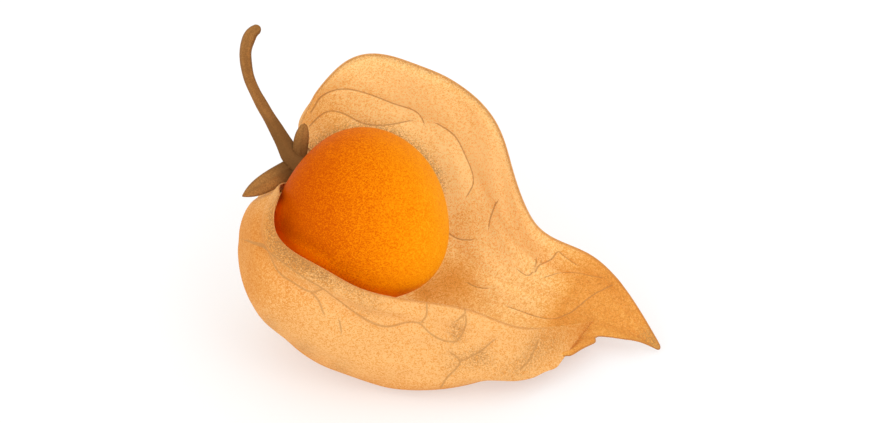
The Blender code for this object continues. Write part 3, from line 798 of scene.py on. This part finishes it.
# A round profile along the stem's line, with low ridges that wind slowly. Both ends close as half circles
def makeStem():
    knots = np.linspace(0, 1, len(stem["line"]))
    share = 0.5 - 0.5 * np.cos(np.linspace(0, np.pi, stem["rows"]))
    line = splineThrough(knots, fromFace(stem["line"]), share)
    swell = splineThrough(knots, np.array(stem["swell"])[:, None], share)[:, 0]
    ahead = np.gradient(line, axis=0)
    ahead /= np.linalg.norm(ahead, axis=1, keepdims=True)
    side = np.cross(ahead, faceAxes()[2])
    side /= np.linalg.norm(side, axis=1, keepdims=True)
    other = np.cross(ahead, side)
    run = np.append(0, np.linalg.norm(np.diff(line, axis=0), axis=1).cumsum())
    fromEnd = np.minimum(run, run[-1] - run)
    blunt = np.sqrt(np.clip(1 - (1 - np.clip(fromEnd / stem["dome"], 0, 1)) ** 2, 0.002, 1))
    turn = np.linspace(0, 2 * np.pi, stem["turns"], endpoint=False)[None, :]
    ridge = np.cos(stem["ridges"] * turn + run[:, None] / 4)
    knotted = np.sin(run * 1.7 + 0.6)[:, None] * np.cos(2 * turn + run[:, None] / 3)
    radius = stem["radius"] * swell[:, None] * blunt[:, None]
    radius = radius * (1 + stem["ridgeHeight"] * ridge + stem["knotHeight"] * knotted)
    around = np.cos(turn)[..., None] * side[:, None] + np.sin(turn)[..., None] * other[:, None]
    rings = line[:, None] + radius[..., None] * around
    fromJoint = np.broadcast_to(run[:, None], radius.shape)
    # Painted shade: darker in the grooves between the ridges, and on one side of the stem, as if turned from
    # the light
    groove = np.broadcast_to(0.5 - 0.5 * ridge, radius.shape)
    fromEdge = np.broadcast_to(1 - rise(np.cos(turn), 0, 1), radius.shape)
    values = dict(fromEdge=fromEdge, fromJoint=fromJoint, groove=groove)
    values = {key: grid[:, ::-1] for key, grid in values.items()}
    return ringBody("stemBark", rings[:, ::-1], line[0], line[-1], values)


# A pointed blade: a lens-shaped profile along a midrib that arches as a parabola. Its half width falls as
# one minus a power of the way along, and its sides turn down as the square of the distance from the midrib
def makeSepal(name, sepal):
    root, tip, bow = (np.array(sepal[key]) for key in ("root", "tip", "bow"))
    share = np.linspace(0, 1, sepals["rows"])[:, None]
    turn = np.linspace(0, 2 * np.pi, sepals["columns"], endpoint=False)[None, :]
    side, face = np.cos(turn), np.sin(turn)
    rib = root + (tip - root) * share[..., None] + bow * (4 * share * (1 - share))[..., None]
    length = (tip - root) / np.linalg.norm(tip - root)
    tilt = math.radians(sepal["tilt"])
    across = np.cross((0.0, math.sin(tilt), math.cos(tilt)), length)
    across /= np.linalg.norm(across)
    facing = np.cross(length, across)
    half = sepal["half"] * (1 - share ** sepal["blunt"]) ** sepal["bend"] * (1 + sepal["flare"] * share)
    half = half + sepals["tipWidth"] * share
    thick = sepals["thickness"] / 2 * (1 - 0.5 * share) * face
    midrib = sepals["midrib"] * hump(side, sepals["midribWidth"]) * np.sign(face) * (1 - share)
    wave = np.sin(sepals["sideWaves"] * share + sepals["slant"] * np.abs(side))
    veins = sepals["sideVeins"] * wave * face * (1 - np.abs(side))
    height = thick + midrib + veins - sepals["curl"] * half * side**2
    rings = fromFace(rib + across * (half * side)[..., None] + facing * height[..., None])
    ends = fromFace(root), fromFace(tip + 0.1 * length)
    # Painted shade: darker towards the blade's edges and in the groove along its midrib
    values = dict(
        fromEdge=np.broadcast_to(1 - np.abs(side), height.shape),
        fromJoint=np.broadcast_to(sepals["fadeStart"] + sepal["fade"] * share, height.shape),
        groove=np.broadcast_to(hump(side, sepals["grooveWidth"]) * (face > 0), height.shape),
    )
    return ringBody(name, rings, *ends, values)


# Two browns in broad patches. The deep brown lies over the joint, over the grooves and the edge as painted
# shade, and over the grains, each a mask times its strength
def barkFinish(name):
    skin = Finish(name, Specular_IOR_Level=bark["shine"])
    deep = bark["deep"]
    colour = skin.noise(bark["patchSize"]).span(*bark["noiseRange"]).mix(bark["main"], bark["light"])
    nearJoint = 1 - skin.value("fromJoint").span(*bark["jointFade"])
    colour = (nearJoint * bark["jointShade"]).mix(colour, deep)
    colour = (skin.value("groove") * bark["grooveShade"]).mix(colour, deep)
    grain = skin.noise(bark["grainSize"], detail=1.0).span(*bark["noiseRange"])
    nearEdge = 1 - skin.value("fromEdge").span(0.0, bark["edgeReach"])
    edge = (bark["edgeShade"] * nearEdge + bark["edgeGrain"] * (grain - 0.5)).held()
    colour = (edge * bark["edgeStrength"]).mix(colour, deep)
    colour = (grain * bark["grainShade"]).mix(colour, deep)
    bumps = [(grain, *bark["grainBump"]), (skin.noise(bark["bumpSize"]), *bark["bump"])]
    return skin.give(colour, bark["roughness"] + bark["roughnessRange"] * grain, bumps)


# The stage

studio = dict(
    # Sizes and places in metres. The floor lies a little under the fruit
    floorSize=4.0, floorDrop=0.00002, floor=paint(190, 190, 190), floorGlow=0.45,
    floorRoughness=0.95, floorShine=0.1, skyStrength=1.06,
    lamps=(
        dict(name="keyLamp", place=(0.20, -0.30, 0.44), size=0.25, power=0.4),
        dict(name="frontLamp", place=(-0.22, -0.50, 0.26), size=0.40, power=0.6),
    ),
)
view = dict(
    frame=(870, 423), collarPixel=(300.0, 165.0), pixelsPerMillimetre=8.75,
    distance=0.55, sensor=36.0, clip=(0.01, 20.0),  # metres, but the sensor's width in millimetres
)


# A pale floor that glows a little, an even white sky, and two soft lamps turned towards the fruit
def makeStage():
    half = studio["floorSize"] / 2
    corners = np.array(((-half, -half), (half, -half), (half, half), (-half, half)))
    points = np.column_stack((corners, np.full(4, -studio["floorDrop"]))) / millimetre
    floor = makeMesh("floor", points, [(0, 1, 2, 3)], {})
    plain = Finish("floor", Base_Color=studio["floor"], Roughness=studio["floorRoughness"],
                   Specular_IOR_Level=studio["floorShine"], Emission_Color=white,
                   Emission_Strength=studio["floorGlow"])
    floor.data.materials.append(plain.material)
    world = bpy.data.worlds.new("sky")
    bpy.context.scene.world = world
    world.use_nodes = True
    sky = world.node_tree.nodes["Background"].inputs
    sky["Color"].default_value, sky["Strength"].default_value = white, studio["skyStrength"]
    for lamp in studio["lamps"]:
        light = bpy.data.lights.new(lamp["name"], "AREA")
        light.size, light.energy = lamp["size"], lamp["power"]
        holder = bpy.data.objects.new(lamp["name"], light)
        holder.location = lamp["place"]
        holder.rotation_euler = (-Vector(lamp["place"])).to_track_quat("-Z", "Y").to_euler()
        bpy.context.scene.collection.objects.link(holder)
    bpy.context.scene.view_settings.view_transform = "Standard"
    print("stage set with", len(studio["lamps"]), "lamps")


# The camera faces the plane of the mouth through the collar, at the middle of the picture. Its lens is the
# sensor's width times the distance over the width that is seen there
def makeCamera():
    target = Vector(fromFace((*pictureMiddle(), 0)) * millimetre)
    back = Vector(faceAxes()[2])
    data = bpy.data.cameras.new("camera")
    data.sensor_width = view["sensor"]
    seenWidth = view["frame"][0] / view["pixelsPerMillimetre"] * millimetre
    data.lens = view["sensor"] * view["distance"] / seenWidth
    data.clip_start, data.clip_end = view["clip"]
    camera = bpy.data.objects.new("camera", data)
    camera.location = target + back * view["distance"]
    camera.rotation_euler = (-back).to_track_quat("-Z", "Y").to_euler()
    bpy.context.scene.collection.objects.link(camera)
    bpy.context.scene.camera = camera
    print("camera placed", view["distance"], "metres away")


# Each piece with its finish, parented to the root body, with its CAD node hidden
def dress(piece, material, node):
    piece.data.materials.append(material)
    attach(piece, "root")
    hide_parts(node)
    print("made", piece.name, len(piece.data.vertices), "vertices")


makeStage()
makeCamera()
dress(makeBerry(), berryFinish(), "berry")
dress(makeHusk(), huskFinish(), "husk")
dress(makeStem(), barkFinish("stemBark"), "stem")
sepalBark = barkFinish("sepalBark")
dress(makeSepal("sepalLeft", sepals["left"]), sepalBark, "stem")
dress(makeSepal("sepalUpper", sepals["upper"]), sepalBark, "stem")
